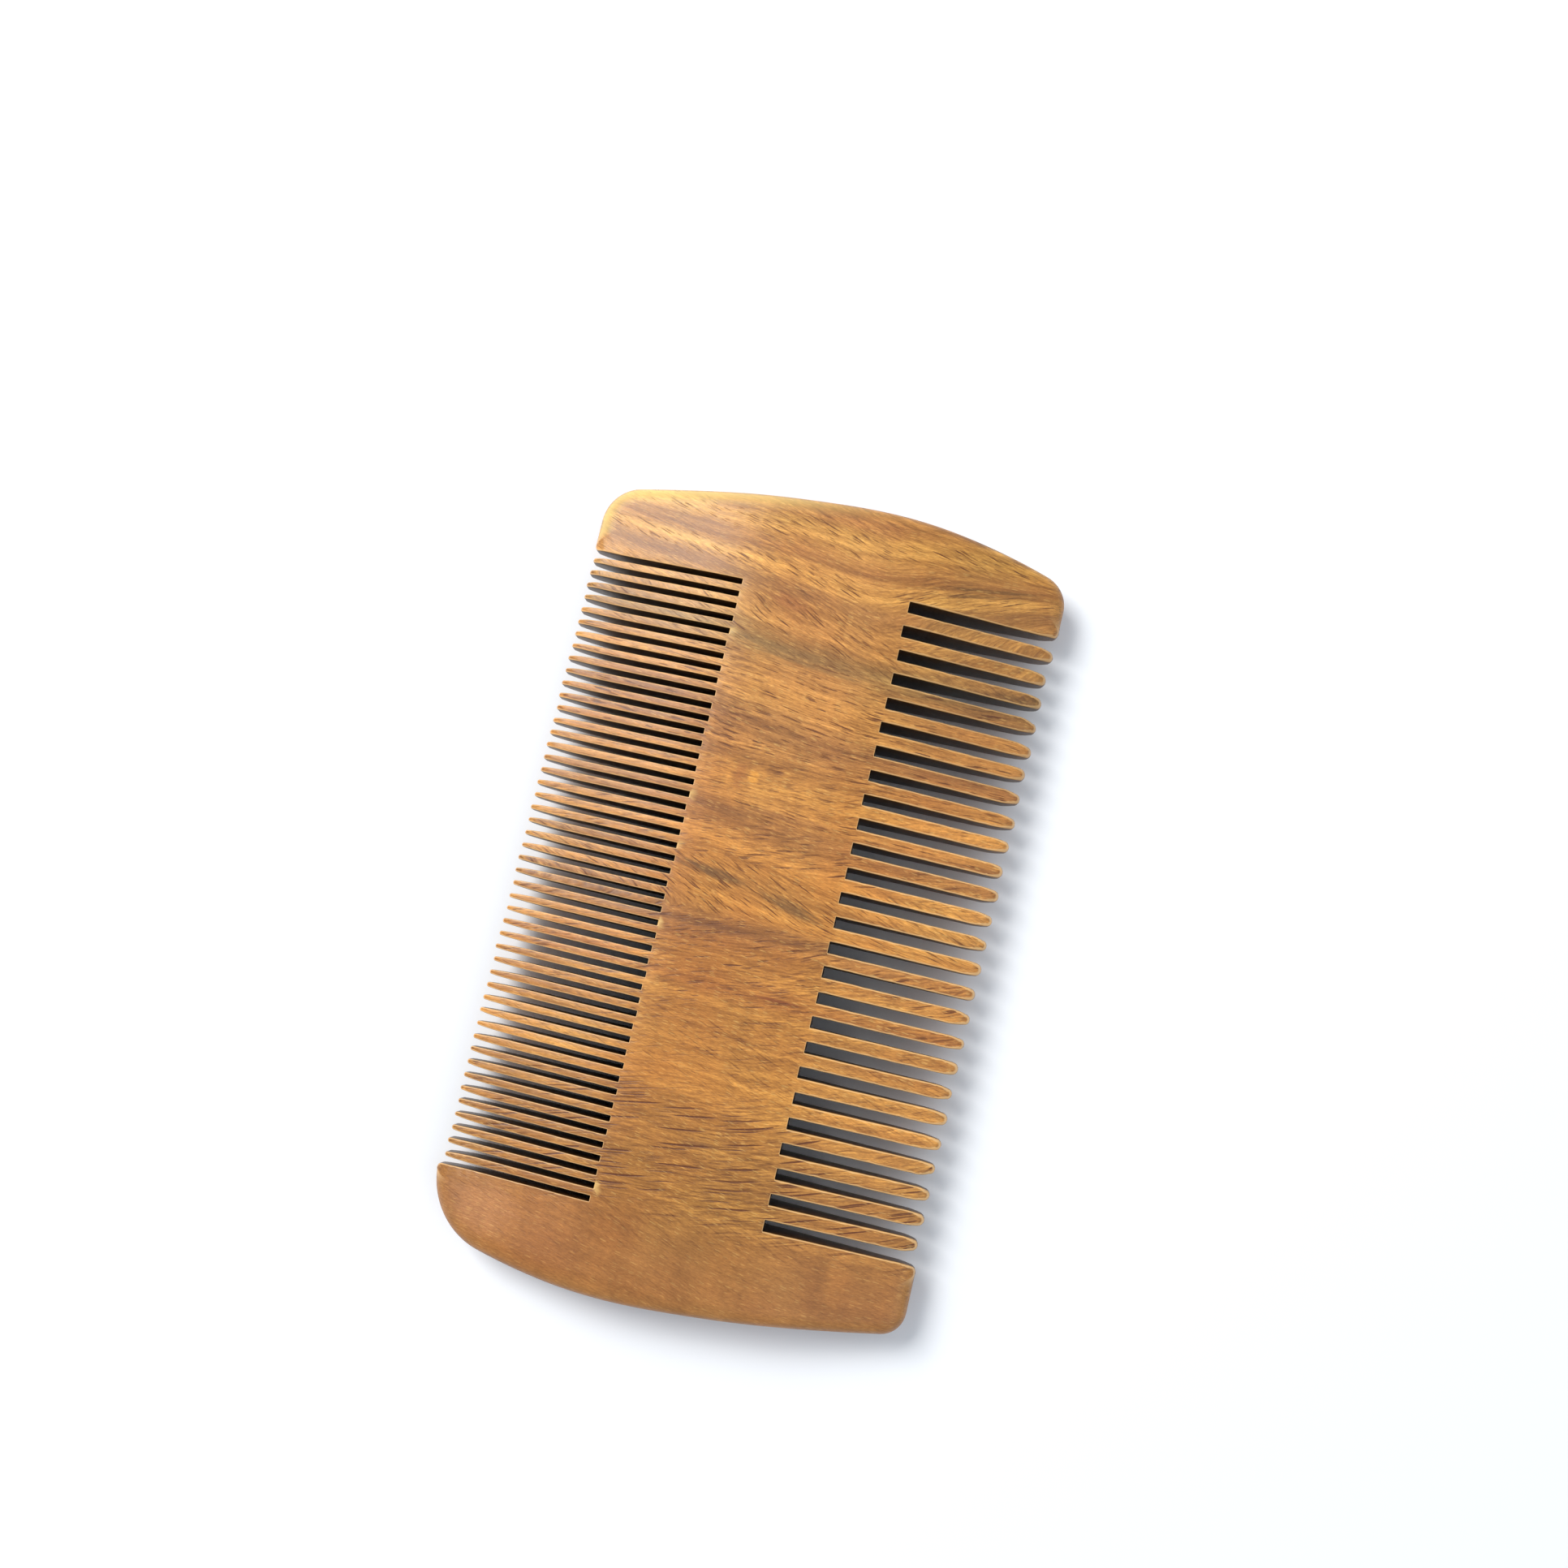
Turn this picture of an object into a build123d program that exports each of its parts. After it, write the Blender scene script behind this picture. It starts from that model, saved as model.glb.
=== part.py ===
from build123d import *
import os
from collections import namedtuple
from math import sqrt

# A two-sided beard comb, sawn from one board of hardwood. Millimetres.
# +X points to the coarse teeth, +Y runs along the comb and +Z is up off the
# face that it lies on. The origin is the middle of that lower face.

# The board
LENGTH = 107.1
WIDTH = 62.8
THICKNESS = 9.0

# Its two faces: a flat spine, then a steady fall towards the teeth's tips
SPINE_WIDTH = 22.0
FACE_FALL = 0.147  # of each face, per millimetre past the spine
FACE_BLEND_RADIUS = 60.0

# The crowned end at +Y. The end at -Y is the same one turned half a circle.
CROWN_APEX_X = 6.0
CROWN_APEX_RADIUS = 81.0
CROWN_RIGHT_TURN = 20.0  # degrees of the apex arc, enough to pass the board's side
CROWN_LEFT_TURN = 4.0
CROWN_LEFT_RADIUS = 270.0
CROWN_LEFT_OVERRUN_TURN = 10.0  # carries the left arc past the board's side

# The four corners, sanded by hand and so not alike
CORNER_RADIUS = {"top_left": 5.2, "top_right": 4.2, "bottom_right": 3.2, "bottom_left": 10.0}
OUTLINE_EDGE_RADIUS = 1.4
UPRIGHT = 0.01  # a wall's normal has less rise than this
LEVEL = 0.3  # an edge that runs round the board has less rise than this

# The rows of teeth. Each is drawn pointing along +X: root and tip are
# distances from the comb's centre line, and centre is the row's middle along Y.
Row = namedtuple("Row", "root tip pitch kerf slots centre taper tip_radius")
COARSE = Row(11.35, 31.2, 3.25, 1.45, 26, 0.93, 2.6, 0.76)
FINE = Row(10.65, 31.0, 1.70, 0.75, 49, 0.84, 4.8, 0.30)

SAW_RADIUS = 40.0  # of the blade that cuts the slots, set level with mid-thickness
GUARD_RELIEF = 0.15  # how far a guard's inner edge is eased back at its tip
GUARD_CORNER_RADIUS = 0.8
GUARD_CLEARANCE = 0.8  # past the tips, where the cut opens out beside a guard
OVERRUN = 4.0  # how far the cutting shapes run past the board

# How much deeper a slot is at mid-thickness than at the two faces
SAW_SAGITTA = SAW_RADIUS - sqrt(SAW_RADIUS**2 - (THICKNESS / 2) ** 2)


def crowned_half():
    """The plan of the +Y half, run out past both sides of the board."""
    apex = (CROWN_APEX_X, LENGTH / 2)
    left_apex = JernArc(apex, (-1, 0), CROWN_APEX_RADIUS, CROWN_LEFT_TURN)
    left = JernArc(left_apex @ 1, left_apex % 1, CROWN_LEFT_RADIUS, CROWN_LEFT_OVERRUN_TURN)
    right = JernArc(apex, (1, 0), CROWN_APEX_RADIUS, -CROWN_RIGHT_TURN)
    left_end = left @ 1
    right_end = right @ 1
    foot = Polyline(left_end, (left_end.X, 0), (right_end.X, 0), right_end)
    return make_face([left_apex, left, right, foot])


def outline():
    """The board's plan, with its crowned ends and four corners."""
    half = crowned_half()
    plan = Rectangle(WIDTH, LENGTH) & (half + Rot(Z=180) * half)
    corner = {
        "top_left": (-WIDTH / 2, LENGTH / 2),
        "top_right": (WIDTH / 2, LENGTH / 2),
        "bottom_right": (WIDTH / 2, -LENGTH / 2),
        "bottom_left": (-WIDTH / 2, -LENGTH / 2),
    }
    for name, place in corner.items():
        nearest = plan.vertices().sort_by_distance(place)[0]
        plan = fillet(nearest, CORNER_RADIUS[name])
    return plan


def lens():
    """A long bar with the board's section: flat spine, faces falling away."""
    reach = WIDTH / 2 + OVERRUN
    fall = FACE_FALL * (reach - SPINE_WIDTH / 2)
    crest = [(-SPINE_WIDTH / 2, THICKNESS), (SPINE_WIDTH / 2, THICKNESS)]
    keel = [(SPINE_WIDTH / 2, 0), (-SPINE_WIDTH / 2, 0)]
    section = Polygon(
        (-reach, THICKNESS - fall),
        *crest,
        (reach, THICKNESS - fall),
        (reach, fall),
        *keel,
        (-reach, fall),
        align=None,
    )
    creases = [section.vertices().sort_by_distance(point)[0] for point in crest + keel]
    section = fillet(creases, FACE_BLEND_RADIUS)
    return extrude(Plane.XZ * section, LENGTH / 2 + OVERRUN, both=True)


def board():
    """The shaped board before any slot is sawn."""
    blank = extrude(outline(), THICKNESS) & lens()
    upright = blank.faces().filter_by(lambda face: abs(face.normal_at().Z) < UPRIGHT)
    rim = [edge for face in upright for edge in face.edges()]
    rim = [edge for edge in rim if abs(edge.tangent_at(0).Z) < LEVEL]
    return fillet(rim, OUTLINE_EDGE_RADIUS)


def tooth_plan(row):
    """One tooth from inside the spine to its rounded tip, centred on Y = 0."""
    half_width = (row.pitch - row.kerf) / 2
    shoulder = row.tip - row.taper
    tip_start = row.tip - row.tip_radius
    low_side = Line((row.root - OVERRUN, -half_width), (shoulder, -half_width))
    low_taper = TangentArc((shoulder, -half_width), (tip_start, -row.tip_radius), tangent=(1, 0))
    tip = ThreePointArc((tip_start, -row.tip_radius), (row.tip, 0), (tip_start, row.tip_radius))
    high_taper = TangentArc((shoulder, half_width), (tip_start, row.tip_radius), tangent=(1, 0))
    high_side = Line((shoulder, half_width), (row.root - OVERRUN, half_width))
    back = Line(high_side @ 1, low_side @ 0)
    return make_face([low_side, low_taper, tip, high_taper, high_side, back])


def bay_plan(row):
    """The space between the two guards, from the roots out past the tips."""
    half_height = ((row.slots - 1) * row.pitch + row.kerf) / 2
    eased = half_height + GUARD_RELIEF
    start = row.root - SAW_SAGITTA
    end = row.tip + OVERRUN
    corners = [(row.tip, -eased), (row.tip, eased)]
    plan = Polygon(
        (start, -half_height),
        (row.tip - row.taper, -half_height),
        corners[0],
        (row.tip + GUARD_CLEARANCE, -eased - OVERRUN),
        (end, -eased - OVERRUN),
        (end, eased + OVERRUN),
        (row.tip + GUARD_CLEARANCE, eased + OVERRUN),
        corners[1],
        (row.tip - row.taper, half_height),
        (start, half_height),
        align=None,
    )
    guard_tips = [plan.vertices().sort_by_distance(point)[0] for point in corners]
    return fillet(guard_tips, GUARD_CORNER_RADIUS)


def waste(row):
    """The wood that is cut away between the teeth and past their tips."""
    teeth = [place * tooth_plan(row) for place in GridLocations(1, row.pitch, 1, row.slots - 1)]
    cut = extrude(bay_plan(row) - teeth, THICKNESS)
    blade = Pos(row.root - SAW_SAGITTA + SAW_RADIUS, 0, THICKNESS / 2)
    sweep = blade * Rot(X=90) * Cylinder(SAW_RADIUS, LENGTH + 2 * OVERRUN)
    return Pos(0, row.centre) * (cut & sweep)


def comb():
    """The board with both rows of slots sawn."""
    return board() - waste(COARSE) - Rot(Z=180) * waste(FINE)


os.makedirs("parts", exist_ok=True)
export_step(comb(), "parts/comb_body.step")
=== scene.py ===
import math
from collections import namedtuple

import bpy
import numpy as np
from mathutils import Matrix, Vector
from mathutils.geometry import delaunay_2d_cdt


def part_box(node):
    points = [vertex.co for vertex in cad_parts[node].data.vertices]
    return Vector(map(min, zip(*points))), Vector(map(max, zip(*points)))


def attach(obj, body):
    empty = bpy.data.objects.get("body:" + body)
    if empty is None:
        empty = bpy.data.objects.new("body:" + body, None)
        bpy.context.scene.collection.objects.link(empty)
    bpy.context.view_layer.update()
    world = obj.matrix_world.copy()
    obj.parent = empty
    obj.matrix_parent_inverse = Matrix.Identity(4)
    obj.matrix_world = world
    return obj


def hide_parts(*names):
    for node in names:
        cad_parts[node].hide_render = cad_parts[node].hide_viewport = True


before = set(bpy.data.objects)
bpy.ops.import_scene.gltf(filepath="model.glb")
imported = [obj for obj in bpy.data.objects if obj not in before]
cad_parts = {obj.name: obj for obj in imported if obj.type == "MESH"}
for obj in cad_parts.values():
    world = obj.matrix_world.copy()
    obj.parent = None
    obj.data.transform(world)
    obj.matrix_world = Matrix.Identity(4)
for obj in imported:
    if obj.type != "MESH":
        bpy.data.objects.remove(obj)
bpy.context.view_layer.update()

# A two-sided beard comb sawn from one board. The shapes below are worked out in
# millimetres, in the CAD model's frame, and turned into metres at the end.
MM = 0.001
NODE = "comb_body"
low_corner, high_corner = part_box(NODE)
WIDTH, LENGTH, THICKNESS = ((high_corner - low_corner) / MM)[:]

# Faces: a flat spine, then a steady fall towards the tips, with a soft crease
SPINE_HALF = 11.0
FACE_FALL = 0.147
FACE_BLEND_RADIUS = 60.0

# Crowned ends. The one at -Y is the one at +Y turned half a circle.
CROWN_APEX_X = 6.0
CROWN_APEX_RADIUS = 81.0
CROWN_LEFT_TURN = math.radians(4.0)
CROWN_LEFT_RADIUS = 270.0
CORNER_RADIUS = {"top_left": 5.2, "top_right": 4.2, "bottom_right": 3.2, "bottom_left": 10.0}
OUTLINE_EDGE_RADIUS = 1.4
OUTLINE_EDGE_REACH = 2.3  # the rounding is flatter than a circle, and runs this far in
GUARD_CORNER_RADIUS = 0.8
GUARD_RELIEF = 0.15

# Rows of teeth, each drawn pointing along +X. The fine row is then turned round.
# root and tip are distances from the centre line, and centre is the row's middle along Y.
# arris is the size of the worn edge along a slot. skew is how much further out the tips
# reach for each millimetre along Y. jitter is the saw's spread of slot places. torn lists
# the slots whose root lost a splinter to the saw, and how much.
Row = namedtuple("Row", "root tip pitch kerf slots centre taper tip_radius arris skew jitter torn")
COARSE = Row(11.35, 31.15, 3.25, 1.45, 26, 0.93, 2.6, 0.75, 0.25, 0.004, 0.035, {})
SPLINTERS = {1: 0.2, 4: 0.35, 17: 0.35, 21: 0.3, 27: 0.45, 33: 0.2, 47: 0.6}
FINE = Row(10.65, 30.95, 1.70, 0.75, 49, 0.84, 4.8, 0.30, 0.15, -0.006, 0.022, SPLINTERS)

# Small differences that hand and saw leave between one tooth and the next
KERF_SPREAD = 0.02
DEPTH_SPREAD = 0.06
TIP_SPREAD = 0.06
TIP_RADIUS_SPREAD = 0.12
TIP_WANDER = 1.2  # times the row's jitter
WAVE_SHARE = 0.35  # of the row's jitter
TAPER_POWER = 1.8
SHOULDER_SPREAD = (0.85, 1.2)  # times the taper
WAVES = ((1.0, 1 / 2.9), (0.6, 1 / 1.1))  # along a slot's side, as (share, radians per mm)
NIBBLES = (2.3, 5.1)  # along its arris, in radians per mm
NIBBLED = (0.8, 0.5)  # of the row's arris: the least, and what a nibble adds

SAW_RADIUS = 40.0
ROOT_CORNER_RADIUS = 0.07
ROOT_ARRIS = 0.12
ROOT_ARRIS_TORN = 2.4  # how much larger a splintered one is
ARRIS_AT_TIP = 0.62  # of the tip's radius
GUARD_ARRIS = 0.2
GUARD_CORNER_WEAR = 1.3  # of the row's arris

# Steps between the mesh's points
FLANK_STEP = 0.8
OUTLINE_STEP = 1.2
CORNER_STEP = 0.5
SIDE_STEP = 0.25
LEAST_GAP = 0.01
FACE_GRID = 1.15
CLEAR_OF_EDGE = 0.55  # of the grid's step
LONGEST_MITRE = 1.4
WALL_LEVELS = (0.25, 0.5, 0.75)  # from the rounding's foot to mid-thickness and beyond

# Ring by ring from face to wall: how pale a worn arris is, and how strongly a highlight is painted
# on the rim
ARRIS_WEAR = (0.0, 0.9, 1.0, 0.8, 0.3, 0.0)
RIM_PAINTED_HIGHLIGHT = (0.0, 0.35, 0.8, 1.0, 0.4, 0.0)
ROUNDING_RINGS = len(ARRIS_WEAR)
SHADING_WEIGHT = 50
SEED = 11


def arc(centre, radius, start, stop, step=OUTLINE_STEP, least=3):
    """Points along an arc, both ends included. Angles in radians."""
    count = max(least, math.ceil(abs(stop - start) * radius / step) + 1)
    angles = np.linspace(start, stop, count)
    return np.asarray(centre) + radius * np.column_stack([np.cos(angles), np.sin(angles)])


def corner_arc(centre, radius, side, corner):
    """The arc from the board's side to a crown arc, and the angle where they meet."""
    corner_x = side * (WIDTH / 2 - corner)
    rise = math.sqrt((radius - corner) ** 2 - (corner_x - centre[0]) ** 2)
    meet = math.atan2(rise, corner_x - centre[0])
    start = 0 if side > 0 else math.pi
    return arc((corner_x, centre[1] + rise), corner, start, meet, step=CORNER_STEP), meet


def crowned_end(left_corner, right_corner):
    """The outline over the +Y end, from the right side round to the left side."""
    centre = np.array([CROWN_APEX_X, LENGTH / 2 - CROWN_APEX_RADIUS])
    turn = math.pi / 2 + CROWN_LEFT_TURN
    shift = (CROWN_APEX_RADIUS - CROWN_LEFT_RADIUS) * np.array([math.cos(turn), math.sin(turn)])
    right, right_meet = corner_arc(centre, CROWN_APEX_RADIUS, 1, right_corner)
    left, left_meet = corner_arc(centre + shift, CROWN_LEFT_RADIUS, -1, left_corner)
    apex = arc(centre, CROWN_APEX_RADIUS, right_meet, turn)
    slope = arc(centre + shift, CROWN_LEFT_RADIUS, turn, left_meet)
    return np.vstack([right, apex[1:], slope[1:], left[::-1][1:]])


# One stretch of the comb's boundary: its points, the size of each one's arris, how far it
# belongs to the board's own outline (0 to 1), its share of the saw's arc and its damage
Stretch = namedtuple("Stretch", "points arris outline sawn torn")


def stretch(points, arris, outline=0.0, sawn=0.0, torn=0.0):
    points = np.asarray(points, float)
    given = (arris, outline, sawn, torn)
    values = [np.broadcast_to(np.asarray(value, float), len(points)) for value in given]
    return Stretch(points, *values)


def joined(parts):
    return Stretch(*(np.concatenate(columns) for columns in zip(*parts)))


def turned(part):
    """The same stretch, turned half a circle about Z."""
    return part._replace(points=-part.points)


def flank(row, y_root, y_end, end, out, rng):
    """One side of a slot from its root to x = end, or back if not out, a little wavy."""
    start = row.root + ROOT_CORNER_RADIUS
    x = np.linspace(start, end, math.ceil((end - start) / FLANK_STEP) + 1)
    x = np.union1d(x, np.linspace(row.tip - row.taper, end, 9))
    shoulder = row.tip - row.taper * rng.uniform(*SHOULDER_SPREAD)
    along = np.clip((x - shoulder) / (end - shoulder), 0, 1)
    phase = rng.uniform(0, 2 * math.pi, 3)
    wave = sum(share * np.sin(x * rate + at) for (share, rate), at in zip(WAVES, phase))
    wave *= WAVE_SHARE * row.jitter * np.clip((x - start) / 2, 0, 1) * (1 - along)
    nibble = np.sin(x * NIBBLES[0] + phase[2]) * np.sin(x * NIBBLES[1] + phase[0])
    y = y_root + (y_end - y_root) * along**TAPER_POWER + wave
    arris = row.arris * (NIBBLED[0] + NIBBLED[1] * np.abs(nibble) ** 3)
    arris += (ARRIS_AT_TIP * row.tip_radius - arris) * along**2
    side = stretch(np.column_stack([x, y]), arris)
    return side if out else Stretch(*(values[::-1] for values in side))


def guard_corner(row, y_flank, upper):
    """A guard's rounded inner corner at the comb's side, walked upwards."""
    side = 1 if upper else -1
    centre = (WIDTH / 2 - GUARD_CORNER_RADIUS, y_flank + side * GUARD_CORNER_RADIUS)
    angles = (-math.pi / 2, 0.0) if upper else (0.0, math.pi / 2)
    corner = arc(centre, GUARD_CORNER_RADIUS, *angles, least=8)
    return stretch(corner, GUARD_CORNER_WEAR * row.arris)


def slot_root(row, y_low, y_high, torn):
    """The square end of a slot, with its two small corners."""
    radius = ROOT_CORNER_RADIUS
    low = arc((row.root + radius, y_low + radius), radius, -math.pi / 2, -math.pi)
    high = arc((row.root + radius, y_high - radius), radius, math.pi, math.pi / 2)
    middle = (low[-1] + high[0]) / 2
    points = np.vstack([low, middle, high])
    sawn = np.array([0, 1, 1, 1, 1, 1, 0])
    damage = torn * np.array([0.2, 0.5, 1.0, 0.8, 0.7, 0.3, 0.1])
    arris = ROOT_ARRIS * (0.8 + ROOT_ARRIS_TORN * damage)
    return stretch(points, arris, sawn=sawn, torn=damage)


def row_boundary(row, rng):
    """The boundary from the guard below a row, in and out of every slot, to the guard above."""
    middle = row.centre + (np.arange(row.slots) - (row.slots - 1) / 2) * row.pitch
    middle += rng.normal(0, row.jitter, row.slots)
    half = row.kerf / 2 * (1 + rng.normal(0, KERF_SPREAD, row.slots))
    cuts = [row._replace(root=row.root + rng.normal(0, DEPTH_SPREAD)) for _ in middle]
    low, high = middle - half, middle + half
    guard_end = WIDTH / 2 - GUARD_CORNER_RADIUS
    parts = [guard_corner(row, low[0] - GUARD_RELIEF, upper=False)]
    parts.append(flank(cuts[0], low[0], low[0] - GUARD_RELIEF, guard_end, False, rng))
    for i in range(row.slots - 1):
        parts.append(slot_root(cuts[i], low[i], high[i], row.torn.get(i, 0.0)))
        tip = row.tip + row.skew * middle[i] + rng.normal(0, TIP_SPREAD)
        radius = row.tip_radius * rng.uniform(1 - TIP_RADIUS_SPREAD, 1 + TIP_RADIUS_SPREAD)
        y_tip = (high[i] + low[i + 1]) / 2 + rng.normal(0, TIP_WANDER * row.jitter)
        end = tip - radius
        parts.append(flank(cuts[i], high[i], y_tip - radius, end, True, rng))
        round_tip = arc((end, y_tip), radius, -math.pi / 2, math.pi / 2, least=9)[1:-1]
        parts.append(stretch(round_tip, ARRIS_AT_TIP * radius))
        parts.append(flank(cuts[i + 1], low[i + 1], y_tip + radius, end, False, rng))
    parts.append(slot_root(cuts[-1], low[-1], high[-1], 0.0))
    parts.append(flank(cuts[-1], high[-1], high[-1] + GUARD_RELIEF, guard_end, True, rng))
    parts.append(guard_corner(row, high[-1] + GUARD_RELIEF, upper=True))
    return joined(parts)


def end_stretch(points, start, stop):
    """One crowned end between two guard corners, its rounding growing away from both."""
    beyond = np.where(points[:, 0] > 0, start[1], stop[1])
    points = points[points[:, 1] > beyond + SIDE_STEP / 2]
    runs = []
    for a, b in ((start, points[0]), (points[-1], stop)):
        count = math.ceil(np.linalg.norm(b - a) / SIDE_STEP) + 1
        runs.append(np.linspace(a, b, count)[1:-1])
    points = np.vstack([runs[0], points, runs[1]])
    gone = np.cumsum(np.linalg.norm(np.diff(points, axis=0), axis=1))
    gone = np.concatenate([[0], gone]) + SIDE_STEP
    near = np.clip(np.minimum(gone, gone[-1] + SIDE_STEP - gone) / OUTLINE_EDGE_REACH, 0, 1)
    return stretch(points, GUARD_ARRIS, outline=near * near * (3 - 2 * near))


def comb_boundary():
    """The whole boundary, counter-clockwise: right row, +Y end, left row, -Y end."""
    rng = np.random.default_rng(SEED)
    right = row_boundary(COARSE, rng)
    left = turned(row_boundary(FINE, rng))
    top = crowned_end(CORNER_RADIUS["top_left"], CORNER_RADIUS["top_right"])
    top = end_stretch(top, right.points[-1], left.points[0])
    bottom = crowned_end(CORNER_RADIUS["bottom_right"], CORNER_RADIUS["bottom_left"])
    bottom = turned(end_stretch(bottom, -left.points[-1], -right.points[0]))
    whole = joined([right, top, left, bottom])
    gap = np.linalg.norm(whole.points - np.roll(whole.points, 1, axis=0), axis=1)
    return Stretch(*(values[gap > LEAST_GAP] for values in whole))


def face_drop(x):
    """How far the board's face has fallen from the spine's level at this x."""
    angle = math.atan(FACE_FALL)
    tangent = FACE_BLEND_RADIUS * math.tan(angle / 2)
    past = np.abs(x) - SPINE_HALF
    into = np.clip(past + tangent, 0, None)
    bend = FACE_BLEND_RADIUS - np.sqrt(np.clip(FACE_BLEND_RADIUS**2 - into**2, 0, None))
    return np.where(past < tangent * math.cos(angle), bend, FACE_FALL * past)


def edge_rounding(depth):
    """How far the rounded edge takes the face down, this far in from the board's outline."""
    into = np.clip(1 - depth / OUTLINE_EDGE_REACH, 0, 1)
    return OUTLINE_EDGE_RADIUS * (1 - np.sqrt(1 - into**2))


def inward_normals(points):
    """The direction into the wood at each boundary point, longer where the boundary turns."""
    before = points - np.roll(points, 1, axis=0)
    after = np.roll(points, -1, axis=0) - points
    before /= np.linalg.norm(before, axis=1)[:, None]
    after /= np.linalg.norm(after, axis=1)[:, None]
    tangent = before + after
    length = np.linalg.norm(tangent, axis=1)[:, None]
    mitre = np.clip(2 / length, 1, LONGEST_MITRE)
    tangent *= mitre / length
    return np.column_stack([-tangent[:, 1], tangent[:, 0]])


def boundary_levels(edge):
    """Rings of points from the upper face down to the lower one, and the wear, painted highlight
    and painted shade at each point.
    """
    normals = inward_normals(edge.points)
    radius = edge.arris + (OUTLINE_EDGE_REACH - edge.arris) * edge.outline
    upper = []
    for angle in np.linspace(math.pi / 2, 0, ROUNDING_RINGS):
        inset = radius * (1 - math.cos(angle))
        place = edge.points + normals * inset[:, None]
        depth = np.where(edge.outline > 0, inset, WIDTH / 2 - np.abs(place[:, 0]))
        drop = face_drop(place[:, 0]) + edge_rounding(depth)
        drop += (1 - edge.outline) * edge.arris * (1 - math.sin(angle))
        upper.append(np.column_stack([place, THICKNESS - drop]))
    middle = THICKNESS / 2
    least_reach = math.sqrt(SAW_RADIUS**2 - middle**2)
    walls = []
    for level in WALL_LEVELS:
        ring = upper[-1].copy()
        ring[:, 2] += level * 2 * (middle - ring[:, 2])
        depth = np.sqrt(SAW_RADIUS**2 - (ring[:, 2] - middle) ** 2) - least_reach
        ring[:, 0] -= np.sign(ring[:, 0]) * depth * edge.sawn
        walls.append(ring)
    lower = [ring * (1, 1, -1) + (0, 0, THICKNESS) for ring in reversed(upper)]
    plain = (0.0,) * len(WALL_LEVELS)
    fallen = [1 - math.sin(angle) for angle in np.linspace(math.pi / 2, 0, ROUNDING_RINGS)]
    fallen = fallen + [1.0] * len(WALL_LEVELS) + fallen[::-1]
    slot = 1 - edge.outline
    marks = {
        "arris": np.outer(ARRIS_WEAR + plain + ARRIS_WEAR[::-1], slot),
        # the painted highlight on the rounded rim, on the upper rings only
        "painted_rim_highlight": np.outer(RIM_PAINTED_HIGHLIGHT + plain + (0.0,) * ROUNDING_RINGS, edge.outline),
        # sawn here holds the slot walls' painted shade: none on the faces, full down the walls
        "sawn": np.outer(np.square(fallen), slot),
    }
    return np.array(upper + walls + lower), marks


def inside(points, loop):
    """Which points lie inside a closed loop."""
    x, y = points[:, :1], points[:, 1:]
    a, b = loop, np.roll(loop, -1, axis=0)
    spans = (a[:, 1] > y) != (b[:, 1] > y)
    rise = np.where(b[:, 1] == a[:, 1], 1e-9, b[:, 1] - a[:, 1])
    cross = a[:, 0] + (y - a[:, 1]) * (b[:, 0] - a[:, 0]) / rise
    return (spans & (x < cross)).sum(axis=1) % 2 == 1


def face_points(loop):
    """An even field of points inside the loop, clear of it, for the spine and guards."""
    xs = np.arange(-WIDTH / 2, WIDTH / 2, FACE_GRID)
    ys = np.arange(-LENGTH / 2, LENGTH / 2, FACE_GRID * math.sqrt(3) / 2)
    grid = np.array([(x + FACE_GRID / 2 * (j % 2), y) for j, y in enumerate(ys) for x in xs])
    grid = grid[inside(grid, loop)]
    nearest = np.array([np.min(np.sum((loop - point) ** 2, axis=1)) for point in grid])
    return grid[nearest > (CLEAR_OF_EDGE * FACE_GRID) ** 2]


def comb_mesh():
    """The comb as one closed mesh, with its wear, painted highlight and painted shade held at its
    points.
    """
    edge = comb_boundary()
    rings, marks = boundary_levels(edge)
    levels, count = rings.shape[:2]
    loop = rings[0][:, :2]
    field = face_points(loop)
    flat = [Vector(point) for point in np.vstack([loop, field])]
    border = [(i, (i + 1) % count) for i in range(count)]
    _, _, triangles, sources, _, _ = delaunay_2d_cdt(flat, border, [], 1, 1e-6)
    fallen = face_drop(field[:, 0]) + edge_rounding(WIDTH / 2 - np.abs(field[:, 0]))
    height = THICKNESS - fallen
    upper_field = np.column_stack([field, height])
    lower_field = np.column_stack([field, THICKNESS - height])
    points = np.vstack([rings.reshape(-1, 3), upper_field, lower_field]) * MM

    first_upper = levels * count
    first_lower = first_upper + len(field)
    last_ring = (levels - 1) * count
    faces = []
    for level in range(levels - 1):
        here, below = level * count, (level + 1) * count
        faces += [(here + i, below + i, below + j, here + j) for i, j in border]
    for triangle in triangles:
        corners = [sources[c][0] for c in triangle]
        faces.append([c if c < count else first_upper + c - count for c in corners])
        corners.reverse()
        faces.append([last_ring + c if c < count else first_lower + c - count for c in corners])

    mesh = bpy.data.meshes.new("beard_comb")
    mesh.from_pydata(points.tolist(), [], faces)
    extra = np.zeros(2 * len(field))
    marks["torn"] = np.tile(edge.torn, levels)
    for name, values in marks.items():
        values = np.concatenate([values.ravel(), extra])
        mesh.attributes.new(name, "FLOAT", "POINT").data.foreach_set("value", values)
    mesh.shade_smooth()
    mesh.validate()
    return mesh


def comb(material):
    piece = bpy.data.objects.new("beard_comb", comb_mesh())
    bpy.context.scene.collection.objects.link(piece)
    piece.data.materials.append(material)
    weighted = piece.modifiers.new("even_shading", "WEIGHTED_NORMAL")
    weighted.weight = SHADING_WEIGHT
    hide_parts(NODE)
    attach(piece, "root")
    return piece


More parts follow.
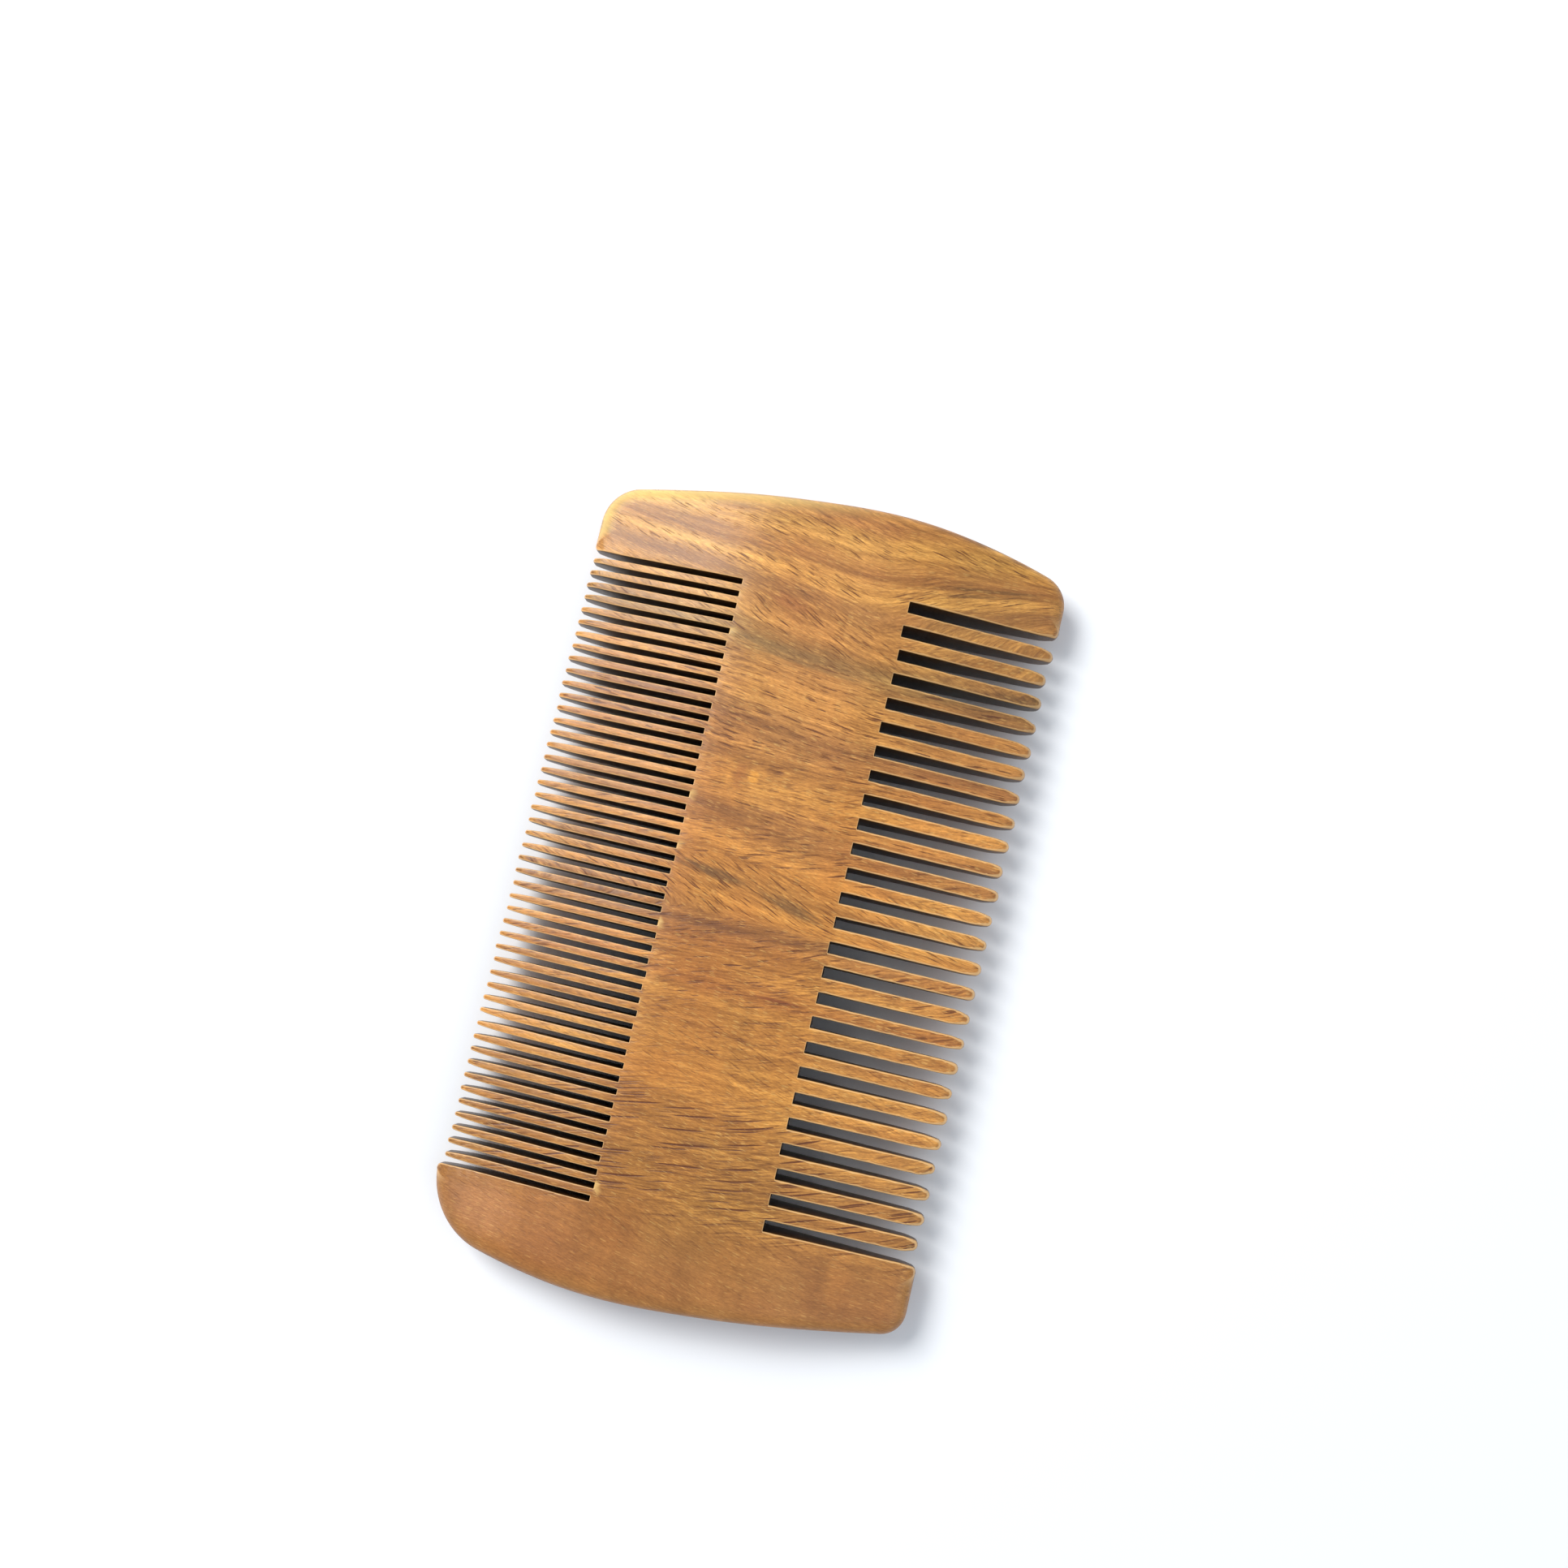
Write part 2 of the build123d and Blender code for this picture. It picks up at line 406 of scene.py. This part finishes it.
def camera():
    """Over the comb, a little past its lower right quarter, with its crown leaning right."""
    data = bpy.data.cameras.new("camera")
    data.sensor_width = 36.0
    data.lens = 41.5
    place = Vector((15.44, -11.44, 240.36)) * MM
    target = Vector((0.94, 15.14, 9.0)) * MM
    away = (place - target).normalized()
    across = Vector((-0.226, 0.966, 0.125)).cross(away).normalized()
    piece = bpy.data.objects.new("camera", data)
    turn = Matrix((across, away.cross(across), away)).transposed()
    piece.matrix_world = Matrix.Translation(place) @ turn.to_4x4()
    bpy.context.scene.collection.objects.link(piece)
    bpy.context.scene.camera = piece


def area_light(name, place, size, power, colour):
    """A soft lamp that faces the comb."""
    data = bpy.data.lights.new(name, "AREA")
    data.size = size
    data.energy = power
    data.color = colour
    lamp = bpy.data.objects.new(name, data)
    lamp.location = place
    lamp.rotation_euler = (-Vector(place)).to_track_quat("-Z", "Y").to_euler()
    bpy.context.scene.collection.objects.link(lamp)


def lighting():
    area_light("window", (-0.55, 0.34, 0.78), 0.5, 9.6, (1.0, 0.985, 0.96))
    area_light("bounce", (0.55, -0.15, 0.7), 0.9, 2.0, (0.9, 0.95, 1.0))
    world = bpy.data.worlds.new("studio")
    world.use_nodes = True
    sky = world.node_tree.nodes["Background"]
    sky.inputs["Color"].default_value = (0.86, 0.92, 1.0, 1)
    sky.inputs["Strength"].default_value = 0.5
    bpy.context.scene.world = world
    bpy.context.scene.view_settings.view_transform = "Standard"


def floor():
    half = 1.5
    mesh = bpy.data.meshes.new("floor")
    corners = [(-half, -half, 0), (half, -half, 0), (half, half, 0), (-half, half, 0)]
    mesh.from_pydata(corners, [], [(0, 1, 2, 3)])
    piece = bpy.data.objects.new("floor", mesh)
    bpy.context.scene.collection.objects.link(piece)
    paper = bpy.data.materials.new("floor")
    paper.use_nodes = True
    shader = paper.node_tree.nodes["Principled BSDF"]
    shader.inputs["Base Color"].default_value = (0.86, 0.88, 0.91, 1)
    shader.inputs["Roughness"].default_value = 0.7
    mesh.materials.append(paper)


class Graph:
    """Shorthand for building one material's nodes."""

    def __init__(self, name):
        self.material = bpy.data.materials.new(name)
        self.material.use_nodes = True
        self.tree = self.material.node_tree
        self.shader = self.tree.nodes["Principled BSDF"]

    def feed(self, socket, value):
        if isinstance(value, bpy.types.NodeSocket):
            self.tree.links.new(value, socket)
        else:
            socket.default_value = value

    def node(self, kind, *inputs, output=0, **settings):
        node = self.tree.nodes.new(kind)
        for name, value in settings.items():
            setattr(node, name, value)
        for socket, value in zip(node.inputs, inputs):
            self.feed(socket, value)
        return node.outputs[output]

    def math(self, operation, *inputs):
        return self.node("ShaderNodeMath", *inputs, operation=operation)

    def times(self, value, factor):
        return self.math("MULTIPLY", value, factor)

    def times_plus(self, value, factor, extra):
        return self.math("MULTIPLY_ADD", value, factor, extra)

    def join(self, x, y, z):
        return self.node("ShaderNodeCombineXYZ", x, y, z)

    def noise(self, vector, scale, detail=2.0, roughness=0.5):
        """Even noise from about 0.2 to 0.8."""
        node = self.tree.nodes.new("ShaderNodeTexNoise")
        given = {"Vector": vector, "Scale": scale, "Detail": detail, "Roughness": roughness}
        for name, value in given.items():
            self.feed(node.inputs[name], value)
        return node.outputs["Fac"]

    def mix(self, factor, a, b):
        node = self.tree.nodes.new("ShaderNodeMix")
        for index, value in ((0, factor), (2, a), (3, b)):
            self.feed(node.inputs[index], value)
        return node.outputs[0]

    def span(self, value, low, high, start=0.0, stop=1.0):
        """An eased step from start to stop as value goes from low to high."""
        return self.node(
            "ShaderNodeMapRange", value, low, high, start, stop, interpolation_type="SMOOTHSTEP"
        )

    def blend(self, factor, a, b, mode="MIX"):
        node = self.tree.nodes.new("ShaderNodeMix")
        node.data_type = "RGBA"
        node.blend_type = mode
        for index, value in ((0, factor), (6, a), (7, b)):
            self.feed(node.inputs[index], value)
        return node.outputs[2]

    def ramp(self, factor, stops):
        """A colour ramp from (position, linear colour) pairs."""
        node = self.tree.nodes.new("ShaderNodeValToRGB")
        elements = node.color_ramp.elements
        while len(elements) < len(stops):
            elements.new(0.5)
        for element, (position, colour) in zip(elements, stops):
            element.position = position
            element.color = (*colour, 1)
        self.feed(node.inputs[0], factor)
        return node.outputs[0]

    def curve(self, factor, points):
        """A smooth curve from 0 to 1 through the points."""
        node = self.tree.nodes.new("ShaderNodeFloatCurve")
        track = node.mapping.curves[0]
        while len(track.points) < len(points):
            track.points.new(0.5, 0.5)
        for knot, place in zip(track.points, points):
            knot.location = place
        node.mapping.update()
        self.feed(node.inputs["Value"], factor)
        return node.outputs[0]


def linear(red, green, blue):
    """A screen colour, 0 to 255, as linear light."""
    parts = [channel / 255 for channel in (red, green, blue)]
    return tuple(c / 12.92 if c <= 0.04045 else ((c + 0.055) / 1.055) ** 2.4 for c in parts)


# Two tables that run from one end of the comb, -TABLE_REACH, to the other: how steeply the
# grain runs across the spine, as (y, dy/dx), and where the strokes of the interlocked grain
# rise to the right (1) or don't (0), as (y, share)
TABLE_REACH = 54.0
GRAIN_TILT = (
    (-54, -0.16), (-49, -0.13), (-44, -0.12), (-38, -0.12), (-31, -0.12), (-26, -0.05),
    (-15, -0.03), (-9, -0.06), (-5, 0.03), (-1, -0.14), (3, -0.13), (11, -0.09),
    (16, -0.01), (24, -0.14), (31, -0.12), (38, -0.10), (42, 0.0), (54, 0.0),
)
RISING = (
    (-54, 0.2), (-46, 0.2), (-43, 0.45), (-40.5, 0.8), (-38, 1.0), (-28, 1.0), (-24, 0.5),
    (-19, 0.5), (-14, 0.8), (-6, 1.0), (-3.4, 0.8), (-2, 0.0), (2.5, 0.0), (4.2, 0.6),
    (5.5, 1.0), (9, 0.9), (11, 0.1), (13, 0.4), (16, 0.4), (18, 0.0), (24, 0.0), (54, 0.0),
)
TILT_LOW, TILT_HIGH = -0.4, 0.4
TILT_FADES = 14.0  # how far from the centre line the grain levels off
RISE, FALL = 0.30, -0.36  # the strokes' slopes against the grain line

# The V that the grain makes in the upper guard
VALLEY_X = 6.0
VALLEY_ROUNDING = 6.0
VALLEY_ARMS, VALLEY_SKEW = 0.148, 0.042

BAND_SLANT = 0.22  # how far the bands move along Y for each millimetre of depth
SLOW_DRIFT, BAND_DRIFT, BAND_FEATHER = 2.0, 2.6, 3.0  # how far noise carries them

# Layers of noise: cells per millimetre across the comb, across the grain and in depth, then
# an offset that sets one layer apart from the next
Layer = namedtuple("Layer", "along_x along_v along_z offset detail roughness")
DRIFT = Layer(0.05, 0.55, 0.15, 4.0, 3.0, 0.5)
COMBED = Layer(0.13, 2.3, 0.5, 9.95, 4.0, 0.68)
STREAK = Layer(0.045, 1.15, 0.5, 12.65, 3.0, 0.55)
FIBRE = Layer(0.17, 5.0, 2.2, 28.0, 4.0, 0.72)
FEATHER = Layer(0.30, 2.6, 1.2, 34.0, 3.0, 0.68)
GRAIN = Layer(1.5, 6.0, 5.0, 79.0, 2.0, 0.75)

# Fine scattered strokes, laid out alike, and the share of their cells that is left empty
Strokes = namedtuple("Strokes", "along_x along_v along_z offset empty")
LONG_VESSELS = Strokes(0.13, 3.6, 2.0, 12.7, 0.1)
VESSELS = Strokes(0.28, 4.2, 2.0, 40.0, 0.5)
SHORT_VESSELS = Strokes(0.55, 4.4, 2.0, 25.7, 0.55)
FLECKS = Strokes(0.9, 6.5, 2.0, 38.7, 0.55)
STROKE_SIZE, STROKE_FEATHER = 0.55, 0.12  # of a cell
FLECK_SLOPE = -0.1

# The bands of colour that the grain carries, as (y on the centre line, colour)
BAND_REACH = 56.0
BANDS = (
    (-48, (180, 124, 76)), (-38, (184, 130, 72)), (-34.5, (176, 122, 68)), (-31, (182, 128, 72)),
    (-28, (188, 132, 74)), (-24.5, (216, 154, 88)), (-21, (204, 145, 82)), (-17, (190, 130, 72)),
    (-14, (200, 140, 78)), (-12.2, (188, 124, 70)), (-9, (210, 148, 84)), (-6.5, (188, 128, 74)),
    (-4.3, (170, 118, 76)), (-2, (214, 150, 84)), (1.5, (186, 130, 74)), (4.5, (216, 152, 86)),
    (9.5, (176, 120, 74)), (14, (220, 156, 90)), (18, (192, 132, 78)), (22, (174, 119, 76)),
    (26, (222, 160, 98)), (30, (204, 148, 94)), (32.4, (160, 122, 82)), (35, (206, 150, 94)),
    (37.6, (204, 148, 94)), (39.3, (178, 126, 82)), (41.3, (230, 172, 106)), (42.8, (206, 150, 92)),
    (44.2, (182, 126, 78)), (46.3, (206, 150, 92)), (48.4, (232, 178, 110)), (51, (184, 128, 80)),
)

# Single marks in the figure, one of them a painted sheen: middle, half length, half width, slope,
# strength, colour
Mark = namedtuple("Mark", "x y reach spread slope strength colour")
MARKS = (
    Mark(-1.0, 31.8, 9.5, 1.2, -0.11, 0.50, (138, 110, 78)),
    Mark(-4.9, 15.0, 1.0, 2.0, 0.0, 0.55, (172, 106, 60)),
    Mark(-5.0, 1.9, 5.0, 0.8, -0.14, 0.75, (104, 76, 52)),
    Mark(5.5, -0.2, 5.0, 0.9, -0.25, 0.72, (106, 78, 54)),
    Mark(-4.0, -4.8, 7.0, 0.8, -0.02, 0.60, (112, 72, 52)),
    Mark(6.8, -12.15, 4.4, 0.25, -0.02, 0.80, (136, 72, 38)),
    Mark(-6.0, 10.1, 4.5, 0.8, -0.10, 0.50, (120, 78, 50)),
    Mark(3.0, 10.9, 7.0, 0.6, -0.02, 0.40, (146, 94, 66)),
    Mark(-3.6, 38.6, 3.4, 1.0, -0.12, 0.45, (166, 102, 62)),
    Mark(0.5, -32.0, 2.6, 0.6, 0.15, 0.55, (114, 74, 56)),
    Mark(-19.0, 46.9, 8.5, 1.4, -0.07, 0.45, (150, 104, 78)),
    Mark(-20.0, 42.3, 9.5, 1.2, -0.08, 0.45, (146, 98, 74)),
    Mark(-21.0, 44.7, 10.0, 0.7, -0.10, 0.45, (246, 196, 124)),
    Mark(22.5, 46.4, 7.0, 0.3, 0.16, 0.70, (110, 74, 40)),
    Mark(19.5, 45.0, 6.0, 0.25, 0.20, 0.60, (118, 80, 44)),
    Mark(-1.5, 52.0, 7.0, 0.9, 0.05, 0.40, (156, 104, 70)),
    # a painted sheen: a pinkish lift over the lower left guard's slope
    Mark(-25.0, -46.0, 6.5, 4.2, 0.0, 0.35, (204, 150, 124)),
    Mark(21.8, -43.8, 1.6, 4.5, 0.0, 0.35, (224, 160, 92)),
    Mark(19.0, -44.8, 1.3, 4.2, 0.0, 0.2, (146, 92, 50)),
)
KNOT = Mark(-3.1, 15.1, 0.85, 1.05, 0.0, 0.9, (242, 172, 84))
MARK_FADE = 1.2  # where a mark has gone, in squared half lengths and widths
MARK_RAGGED = 3.2  # how strongly noise breaks up its border

# Colours of single features, and factors on the wood's colour
VESSEL = linear(104, 54, 8)
FLECK = linear(250, 210, 150)
WORN_ARRIS = linear(255, 216, 182)
SPLINTER = linear(240, 204, 150)
# Painted light and shade: the rim's highlight, the slot walls' shade, shade at the upper right,
# light on the coarse side and a sheen on the fine side
PAINTED_HIGHLIGHT_COLOUR = (1.0, 0.74, 0.28)
SLOT_WALL_PAINTED_SHADE = (0.22, 0.19, 0.16)
UPPER_RIGHT_PAINTED_SHADE = (0.72, 0.69, 0.64)
COARSE_SIDE_PAINTED_LIGHT = (1.14, 1.17, 1.2)
FINE_SIDE_PAINTED_SHEEN = (1.06, 1.09, 1.2)
BASE_LOWER_GUARD = (0.76, 0.665, 0.41)
BASE = (0.83, 0.735, 0.44)

BUMP_STRENGTH = 0.5
BUMP_HEIGHT = 0.06 * MM


class Wood(Graph):
    """The comb's wood, laid out in millimetres in the comb's own frame."""

    def __init__(self):
        super().__init__("wood")
        metres = self.node("ShaderNodeTexCoord", output=3)
        self.spot = self.node("ShaderNodeVectorMath", metres, operation="SCALE")
        self.spot.node.inputs["Scale"].default_value = 1 / MM
        split = self.tree.nodes.new("ShaderNodeSeparateXYZ")
        self.feed(split.inputs[0], self.spot)
        self.x, self.y, z = split.outputs

        # top is 1 in the upper guard's figure, which starts lower down on the right
        right = self.span(self.x, 4.0, 14.0)
        self.top = self.mix(right, self.span(self.y, 35.0, 41.0), self.span(self.y, 29.0, 41.0))
        self.lay_grain(self.math("SUBTRACT", z, THICKNESS))

    def table(self, points):
        """A smooth curve along the comb through (y, value) pairs."""
        along = self.node("ShaderNodeMapRange", self.y, -LENGTH / 2, LENGTH / 2, 0.0, 1.0)
        return self.curve(along, [((y + TABLE_REACH) / (2 * TABLE_REACH), at) for y, at in points])

    def lay_grain(self, sunk):
        """Set out the grain line through each point, and which way its strokes lean."""
        x, y = self.x, self.y
        near_x = self.math("TANH", self.math("DIVIDE", x, TILT_FADES))
        near_x = self.times(near_x, TILT_FADES)
        tilt_range = TILT_HIGH - TILT_LOW
        tilt = self.table([(at, (slope - TILT_LOW) / tilt_range) for at, slope in GRAIN_TILT])
        tilt = self.times_plus(tilt, tilt_range, TILT_LOW)
        past = self.math("SUBTRACT", x, VALLEY_X)
        arms = self.math("SQRT", self.times_plus(past, past, VALLEY_ROUNDING))
        valley = self.times_plus(arms, VALLEY_ARMS, self.times(past, VALLEY_SKEW))
        depth = self.times(self.top, self.span(y, 50.5, 43.5, 0.35, 1.0))
        rise = self.times_plus(valley, depth, self.times(tilt, near_x))

        # v is the height on the centre line of the grain line through a point
        v = self.times_plus(sunk, BAND_SLANT, self.math("SUBTRACT", y, rise))
        slow = self.noise(self.spot, 0.055, 2.0)
        self.v = self.times_plus(slow, SLOW_DRIFT, self.math("SUBTRACT", v, SLOW_DRIFT / 2))

        # under is the height above the comb's own face, so below 0 inside the wood
        off_spine = self.math("SUBTRACT", self.math("ABSOLUTE", x), SPINE_HALF)
        self.under = self.times_plus(self.math("MAXIMUM", off_spine, 0.0), FACE_FALL, sunk)

        # Strokes rise by the table and in the V's right arm. Elsewhere they fall, or lie
        # level between y = 11 and y = 30.
        branch = self.times(self.span(x, 5.0, 11.0), self.span(y, 48.5, 46.0))
        self.rising = self.math("MAXIMUM", self.table(RISING), self.times(self.top, branch))
        self.steep = self.math("MAXIMUM", self.span(y, 11.0, 8.0), self.span(y, 30.0, 33.5))

    def place(self, layer, slope):
        """Coordinates drawn out along the grain, or along strokes at some slope to it."""
        across = self.times_plus(self.x, -slope, self.v)
        return self.join(
            self.times(self.x, layer.along_x),
            self.times(across, layer.along_v),
            self.times_plus(self.under, layer.along_z, layer.offset),
        )

    def figure(self, layer, slope=0.0):
        """Noise drawn out along the grain."""
        return self.noise(self.place(layer, slope), 1.0, layer.detail, layer.roughness)

    def dashes(self, strokes, slope):
        """Fine strokes scattered along the grain, as a share from 0 to 1."""
        cells = self.tree.nodes.new("ShaderNodeTexVoronoi")
        self.feed(cells.inputs["Vector"], self.place(strokes, slope))
        cells.inputs["Scale"].default_value = 1.0
        chance = self.node("ShaderNodeSeparateColor", cells.outputs["Color"])
        size = self.node("ShaderNodeMapRange", chance, strokes.empty, 1.0, 0.0, STROKE_SIZE)
        inside = self.math("SUBTRACT", size, cells.outputs["Distance"])
        return self.node("ShaderNodeMapRange", inside, 0.0, STROKE_FEATHER, 0.0, 1.0)

    def leaning(self, draw, layer, share=1.0):
        """What draw makes of a layer whose strokes fall, lie level or rise by zone."""
        fallen = self.mix(self.steep, draw(layer, 0.0), draw(layer, FALL * share))
        return self.mix(self.rising, fallen, draw(layer, RISE * share))

    def shade(self, colour, value, low, high, dark, light):
        """Multiply the colour by dark to light as value goes from low to high."""
        place = self.node("ShaderNodeMapRange", value, low, high, 0.0, 1.0)
        return self.blend(1.0, colour, self.ramp(place, ((0, dark), (1, light))), "MULTIPLY")

    def tint(self, colour, share, factor):
        """Multiply the colour by the factor where share is 1."""
        return self.blend(share, colour, self.blend(1.0, colour, (*factor, 1), "MULTIPLY"))

    def mark(self, colour, item, edge=None):
        """Blend in one mark, its border broken up by edge if there is one."""
        right = self.math("SUBTRACT", self.x, item.x)
        up = self.math("SUBTRACT", self.y, item.y)
        up = self.math("SUBTRACT", up, self.times(right, item.slope))
        right = self.math("DIVIDE", right, item.reach)
        up = self.math("DIVIDE", up, item.spread)
        far = self.times_plus(up, up, self.times(right, right))
        if edge:
            far = self.times_plus(edge, -MARK_RAGGED, self.math("ADD", far, MARK_RAGGED / 2))
        share = self.span(far, MARK_FADE, 0.0, 0.0, item.strength)
        return self.blend(share, colour, (*linear(*item.colour), 1))


def banded(w):
    """The bands' colour, how golden it is, and the noise that feathers their borders."""
    drift = w.figure(DRIFT)
    combed = w.leaning(w.figure, COMBED, 0.7)
    v = w.times_plus(drift, BAND_DRIFT, w.math("SUBTRACT", w.v, BAND_DRIFT / 2))
    v = w.times_plus(combed, BAND_FEATHER, w.math("SUBTRACT", v, BAND_FEATHER / 2))
    place = w.node("ShaderNodeMapRange", v, -BAND_REACH, BAND_REACH, 0.0, 1.0)
    stops = [((at + BAND_REACH) / (2 * BAND_REACH), linear(*colour)) for at, colour in BANDS]
    colour = w.ramp(place, stops)
    gold = w.span(w.node("ShaderNodeRGBToBW", colour), 0.30, 0.40)
    return colour, gold, combed


def fibrous(w, colour):
    """Add streaks, fibres and feathered strokes, calmer in the lower guard."""
    calm = w.span(w.y, -46.0, -39.0, 0.4, 1.0)
    streak = w.figure(STREAK)
    streaked = w.shade(colour, streak, 0.32, 0.68, (0.75, 0.70, 0.60), (1.22, 1.25, 1.25))
    colour = w.blend(calm, colour, streaked)
    fibre = w.leaning(w.figure, FIBRE, 0.5)
    fibred = w.shade(colour, fibre, 0.3, 0.7, (0.60, 0.55, 0.45), (1.32, 1.38, 1.44))
    colour = w.blend(calm, colour, fibred)
    feather = w.leaning(w.figure, FEATHER)
    patches = w.span(w.noise(w.spot, 0.09, 1.0), 0.42, 0.58)
    patches = w.times(patches, w.span(w.y, -46.0, -40.0))
    stroked = w.ramp(
        w.node("ShaderNodeMapRange", feather, 0.34, 0.66, 0.0, 1.0),
        ((0, (0.62, 0.56, 0.50)), (0.5, (1, 1, 1)), (1, (1.20, 1.24, 1.24))),
    )
    colour = w.blend(patches, colour, w.blend(1.0, colour, stroked, "MULTIPLY"))
    return colour, fibre, feather


def vessels(w, feather, gold):
    """Dark vessels, long and crowded above the lower guard and in gold bands in the upper one."""
    crowd = w.times(w.span(w.y, -43.0, -38.0), w.span(w.y, -22.0, -30.0))
    crowd = w.math("MAXIMUM", crowd, w.span(feather, 0.62, 0.42))
    low = w.times(w.span(w.y, -45.0, -41.0), w.span(w.y, -22.0, -28.0))
    long_stroke = w.leaning(w.dashes, LONG_VESSELS)
    stroke = w.leaning(w.dashes, VESSELS)
    short_stroke = w.leaning(w.dashes, SHORT_VESSELS, 0.9)
    stroke = w.math("MAXIMUM", stroke, w.times(short_stroke, 0.8))
    stroke = w.times(stroke, w.times_plus(low, -0.55, 1.0))
    vessel = w.math("MAXIMUM", stroke, w.times(long_stroke, w.times(low, 1.1)))
    vessel = w.times(vessel, w.times_plus(crowd, 0.50, 0.45))
    vessel = w.times(vessel, w.mix(w.times(w.top, 0.9), 1.0, gold))
    return w.times(vessel, w.span(w.y, -47.0, -40.0, 0.3, 1.0))


def clouded(w, colour, mottle):
    """Add broad, soft changes of colour, and curl across the lower guard."""
    blush = w.noise(w.spot, 0.075, 3.0)
    colour = w.shade(colour, blush, 0.32, 0.68, (0.97, 0.90, 0.86), (1.02, 1.08, 1.12))
    colour = w.shade(colour, mottle, 0.3, 0.7, (0.93, 0.93, 0.93), (1.06, 1.06, 1.06))
    place = w.join(w.times(w.x, 0.16), w.times(w.y, 0.06), 51.0)
    curl = w.math("SUBTRACT", w.noise(place, 1.0, 2.0), 0.5)
    curl = w.times_plus(curl, w.span(w.y, -40.0, -45.0), 0.5)
    return w.shade(colour, curl, 0.3, 0.7, (0.87, 0.85, 0.84), (1.13, 1.14, 1.15))


def worn_and_painted_shade(w, colour):
    """Worn arrises are paler, splintered slot roots paler still, and slot walls darkened with
    painted shade.
    """
    arris, torn, sawn = (
        w.node("ShaderNodeAttribute", attribute_name=name, output=2)
        for name in ("arris", "torn", "sawn")
    )
    colour = w.blend(w.times(arris, 0.7), colour, (*WORN_ARRIS, 1))
    colour = w.blend(w.span(torn, 0.05, 0.4, 0.0, 0.7), colour, (*SPLINTER, 1))
    # Painted shade: the slot walls darkened nearly to black, standing in for the shade deep in each
    # slot
    return w.tint(colour, w.span(sawn, 0.15, 1.0), SLOT_WALL_PAINTED_SHADE)


def by_region(w, colour):
    """Tint the comb's regions with painted shade and light, and paint a highlight on the rim round
    its upper left corner.
    """
    x, y = w.x, w.y
    # Painted shade: the upper right of the comb darkened
    colour = w.tint(colour, w.times(w.span(x, 4.0, 20.0), w.span(y, 8.0, 30.0)), UPPER_RIGHT_PAINTED_SHADE)
    # Painted light: the coarse teeth lifted paler, turning to a slight darkening below y = -44 at
    # the lower right
    coarse = w.times(w.span(x, 6.0, 16.0), w.span(y, -44.0, -40.0, -0.4, 1.0))
    colour = w.tint(colour, coarse, COARSE_SIDE_PAINTED_LIGHT)
    base = w.blend(w.span(y, -45.0, -36.0), (*BASE_LOWER_GUARD, 1), (*BASE, 1))
    colour = w.blend(1.0, colour, base, "MULTIPLY")
    # Painted sheen: the fine side lifted paler and bluer
    fine = w.times(w.span(x, -8.0, -16.0), w.span(y, -44.0, -38.0, 0.6, 1.0))
    colour = w.tint(colour, fine, FINE_SIDE_PAINTED_SHEEN)
    # Painted highlight: a gold glow on the rounded rim, faint all round and strong at the upper
    # left corner
    painted_rim_highlight = w.node("ShaderNodeAttribute", attribute_name="painted_rim_highlight", output=2)
    painted_highlight_share = w.times(w.span(x, 14.0, -20.0), w.span(y, 30.0, 41.0))
    painted_highlight_share = w.times(painted_rim_highlight, w.times_plus(painted_highlight_share, 0.58, 0.04))
    return w.blend(painted_highlight_share, colour, (*PAINTED_HIGHLIGHT_COLOUR, 1))


def wood():
    """The comb's material: its bands, then what lies over them, then its relief."""
    w = Wood()
    colour, gold, combed = banded(w)
    colour, fibre, feather = fibrous(w, colour)
    for item in MARKS:
        colour = w.mark(colour, item, edge=combed)
    colour = w.mark(colour, KNOT)
    vessel = vessels(w, feather, gold)
    colour = w.blend(vessel, colour, (*VESSEL, 1))
    fleck = w.dashes(FLECKS, FLECK_SLOPE)
    fleck = w.times(fleck, w.span(w.y, -46.0, -38.0, 0.2, 0.28))
    colour = w.blend(fleck, colour, (*FLECK, 1))
    grain = w.figure(GRAIN)
    colour = w.shade(colour, grain, 0.3, 0.7, (0.80, 0.77, 0.74), (1.19, 1.22, 1.25))
    mottle = w.noise(w.spot, 0.55, 3.0, 0.6)
    colour = by_region(w, worn_and_painted_shade(w, clouded(w, colour, mottle)))
    w.feed(w.shader.inputs["Base Color"], colour)

    w.feed(w.shader.inputs["Roughness"], w.times_plus(fibre, 0.2, 0.28))
    relief = w.times_plus(fibre, 0.7, w.times(mottle, 0.5))
    relief = w.times_plus(vessel, -0.6, relief)
    bump = w.tree.nodes.new("ShaderNodeBump")
    bump.inputs["Strength"].default_value = BUMP_STRENGTH
    bump.inputs["Distance"].default_value = BUMP_HEIGHT
    w.feed(bump.inputs["Height"], relief)
    w.feed(w.shader.inputs["Normal"], bump.outputs[0])
    return w.material


camera()
lighting()
floor()
comb(wood())
